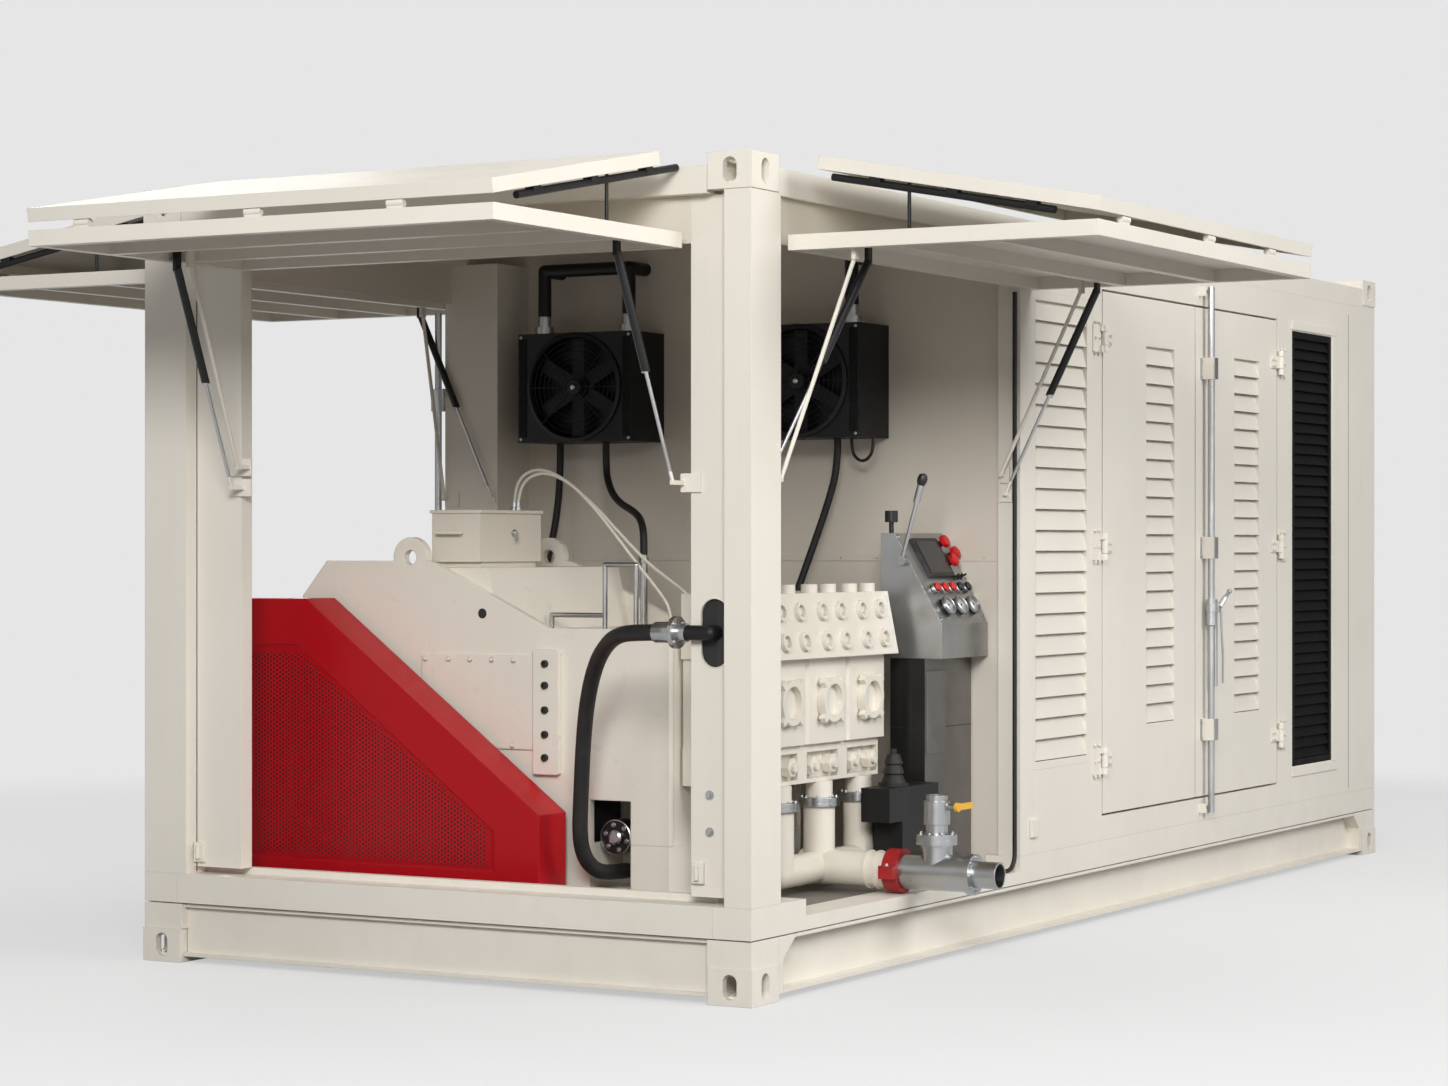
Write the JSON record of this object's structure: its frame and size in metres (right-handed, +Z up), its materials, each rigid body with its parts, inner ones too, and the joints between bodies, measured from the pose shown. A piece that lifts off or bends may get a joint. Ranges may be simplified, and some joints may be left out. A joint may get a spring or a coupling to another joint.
{
  "type": "containerised grouting pump",
  "caption": "Triplex plunger grouting pump in a 20-foot steel frame with an open pump bay, folding awnings, a control console and a louvred engine room.",
  "frame": {"origin": "middle of the whole part's base, on the ground, with the awnings open", "axes": "+X along the container from the pump end to the engine-room end, -Y towards the operator's side, +Z up"},
  "size_m": [7.156, 4.616, 2.7],
  "materials": {
    "black_metal": "satin black paint",
    "black_rubber": "matte black rubber",
    "cast_grey": "grey metallic casting",
    "cream_paint": "satin cream enamel with worn edges",
    "deck": "dark worn deck paint",
    "inner_cream": "satin cream enamel in the bay",
    "pump_cream": "semi-gloss cream over cast iron",
    "red_paint": "semi-gloss red enamel",
    "stainless": "brushed stainless sheet",
    "steel": "zinc plated and brushed steel",
    "yellow_grip": "yellow dipped vinyl"
  },
  "bodies": {
    "unit": {"awning_lock_bars": "black_metal", "awning_stays": "cream_paint", "awning_struts": "black_metal", "base_beams": "cream_paint", "base_castings": "cream_paint", "base_cross_members": "cream_paint", "bay_columns": "cream_paint", "bay_hoses": "black_rubber", "belt_guard": "red_paint", "bottom_end_rails": "cream_paint", "bottom_side_rails": "cream_paint", "branch_valve": "cast_grey", "bulkhead": "inner_cream", "console_controls": "black_metal", "console_head": "stainless", "console_pedestal": "stainless", "coolant_pipes": "black_metal", "coolers": "black_metal", "corner_posts": "cream_paint", "discharge_hose": "black_rubber", "door_hinges": "cream_paint", "end_awning_lower": "cream_paint", "end_awning_upper": "cream_paint", "end_jambs": "cream_paint", "far_awning_lower": "cream_paint", "far_awning_upper": "cream_paint", "far_doors": "cream_paint", "floor_plate": "deck", "fluid_end": "pump_cream", "header_panels": "inner_cream", "louvre_panels": "cream_paint", "lube_box": "inner_cream", "near_awning_lower": "cream_paint", "near_awning_upper": "cream_paint", "pipe_fittings": "steel", "power_end": "pump_cream", "pump_covers": "pump_cream", "pump_side_plates": "pump_cream", "pump_skid": "pump_cream", "radiator_grilles": "black_metal", "red_coupling": "red_paint", "roof_panel": "cream_paint", "rubber_trim": "black_rubber", "shift_box": "black_metal", "suction_manifold": "pump_cream", "suction_tee": "cast_grey", "top_castings": "cream_paint", "top_rails": "cream_paint", "wall_panels": "cream_paint", "wall_piers": "cream_paint"},
    "door_left": {"door_left": "cream_paint"},
    "door_right": {"door_right": "cream_paint"},
    "lock_bar": {"lock_bar": "steel"},
    "fan_left": {"fan_left": "black_metal"},
    "fan_right": {"fan_right": "black_metal"},
    "console_lever": {"console_lever": "steel"},
    "valve_handle": {"valve_handle": "yellow_grip"}
  },
  "joints": [
    {"name": "door_left_hinge", "type": "hinge", "parent": "unit", "child": "door_left", "pos_m": [0.297, -1.234, 1.45], "axis": [0, 0, -1], "range_deg": [0, 110]},
    {"name": "door_right_hinge", "type": "hinge", "parent": "unit", "child": "door_right", "pos_m": [2.259, -1.234, 1.45], "axis": [0, 0, 1], "range_deg": [0, 110]},
    {"name": "lock_bar_turn", "type": "hinge", "parent": "door_right", "child": "lock_bar", "pos_m": [1.373, -1.253, 1.45], "axis": [0, 0, -1], "range_deg": [0, 90]},
    {"name": "fan_left_spin", "type": "hinge", "parent": "unit", "child": "fan_left", "pos_m": [-0.617, 0.594, 2.072], "axis": [1, 0, 0], "continuous": true},
    {"name": "fan_right_spin", "type": "hinge", "parent": "unit", "child": "fan_right", "pos_m": [-0.617, -0.393, 2.072], "axis": [1, 0, 0], "continuous": true},
    {"name": "console_lever_tilt", "type": "hinge", "parent": "unit", "child": "console_lever", "pos_m": [-0.818, -0.916, 1.4], "axis": [1, 0, 0], "range_deg": [-20, 25]},
    {"name": "valve_handle_turn", "type": "hinge", "parent": "unit", "child": "valve_handle", "pos_m": [-1.357, -1.394, 0.56], "axis": [0, -1, 0], "range_deg": [0, 90]}
  ]
}
